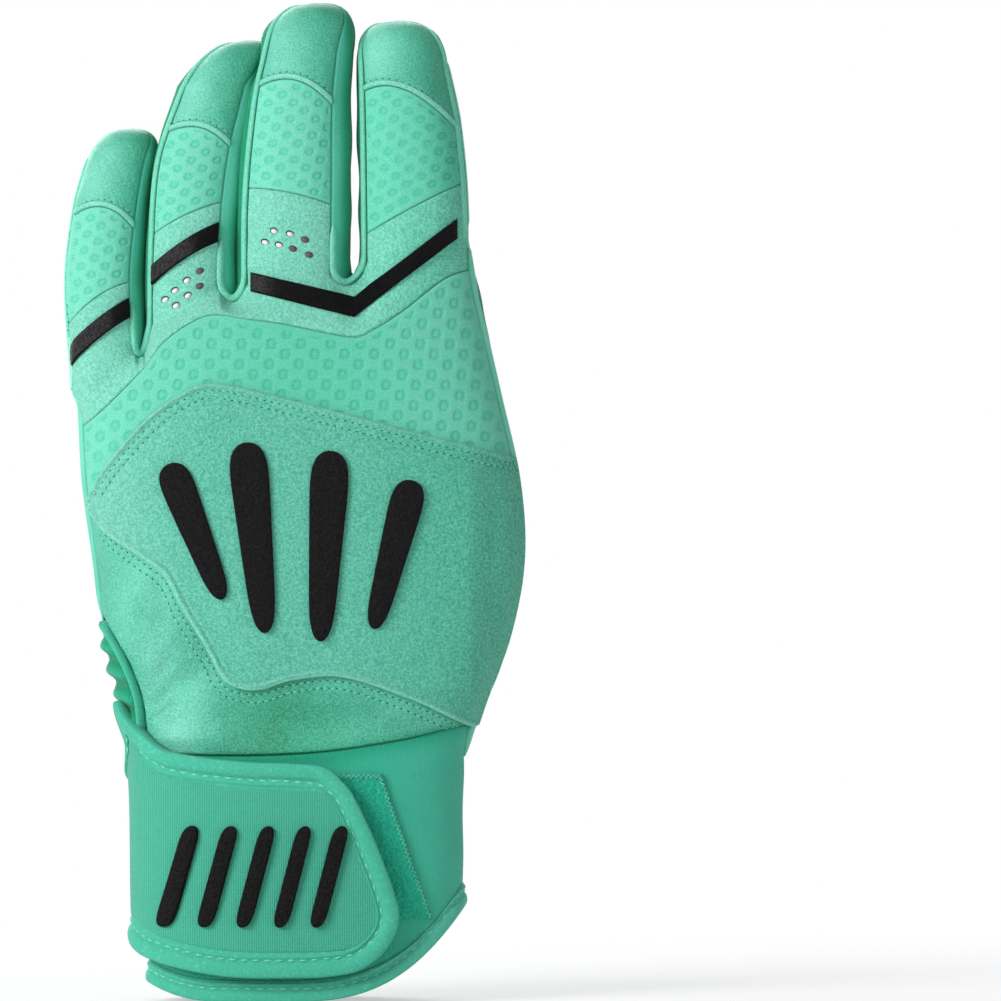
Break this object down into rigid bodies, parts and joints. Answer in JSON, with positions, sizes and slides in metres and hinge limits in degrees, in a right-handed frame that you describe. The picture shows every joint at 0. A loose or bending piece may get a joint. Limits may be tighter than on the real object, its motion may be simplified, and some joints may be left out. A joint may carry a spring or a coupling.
{
  "type": "batting glove",
  "caption": "Left-hand batting glove sewn from leather, suede and dimpled cloth panels, with a knit cuff and a hook-and-loop wrist strap that peels open.",
  "frame": {"origin": "centre of the wrist opening, at the lowest edge of the cuff", "axes": "+Z from the wrist to the fingertips, +X to the thumb side, -Y out of the back of the hand"},
  "size_m": [0.1105, 0.0555, 0.2388],
  "materials": {
    "leather": "smooth full-grain goatskin, semi-matt",
    "suede": "suede nap, matt",
    "mesh": "embossed dimpled stretch cloth",
    "knit": "fine rib stretch knit",
    "side_cloth": "plain stretch side cloth, matt",
    "loop_pile": "brushed loop pile",
    "binding": "rolled twill binding",
    "elastic": "gathered elastic web",
    "lining": "thin tricot lining",
    "foam": "closed-cell foam sheet",
    "hook_tape": "moulded hook tape",
    "black_rubber": "grained moulded rubber film"
  },
  "bodies": {
    "glove": {"little_tip_cap": "leather", "little_mesh_panel": "mesh", "ring_tip_cap": "leather", "ring_mesh_panel": "mesh", "middle_tip_cap": "leather", "middle_mesh_panel": "mesh", "index_tip_cap": "leather", "index_mesh_panel": "mesh", "little_knuckle_panel": "suede", "knuckle_panel": "suede", "fourchette_little_ring": "side_cloth", "fourchette_ring_middle": "side_cloth", "fourchette_middle_index": "side_cloth", "hand_mesh_panel": "mesh", "shield_panel": "suede", "shield_foam": "foam", "back_lining": "lining", "lower_back_panel": "leather", "vent_binding": "binding", "wrist_elastic": "elastic", "little_stripe": "black_rubber", "ring_stripe": "black_rubber", "chevron_stripe": "black_rubber", "guard_rib_1": "black_rubber", "guard_rib_2": "black_rubber", "guard_rib_3": "black_rubber", "guard_rib_4": "black_rubber", "cuff_sleeve": "knit", "cuff_hem": "binding", "loop_patch": "loop_pile", "strap_anchor": "knit", "palm_patch": "leather", "wrist_tab": "suede", "thumb_front": "leather", "thumb_back": "suede", "thumb_gusset": "mesh", "palm_leather": "leather"},
    "strap": {"strap_panel": "knit", "strap_binding": "binding", "hook_patch": "hook_tape", "strap_rib_1": "black_rubber", "strap_rib_2": "black_rubber", "strap_rib_3": "black_rubber", "strap_rib_4": "black_rubber", "strap_rib_5": "black_rubber"}
  },
  "joints": [
    {"name": "strap_peel", "type": "hinge", "parent": "glove", "child": "strap", "pos_m": [-0.0413, 0.0041, 0.036], "axis": [0, 0, -1], "range_deg": [0, 120]}
  ]
}
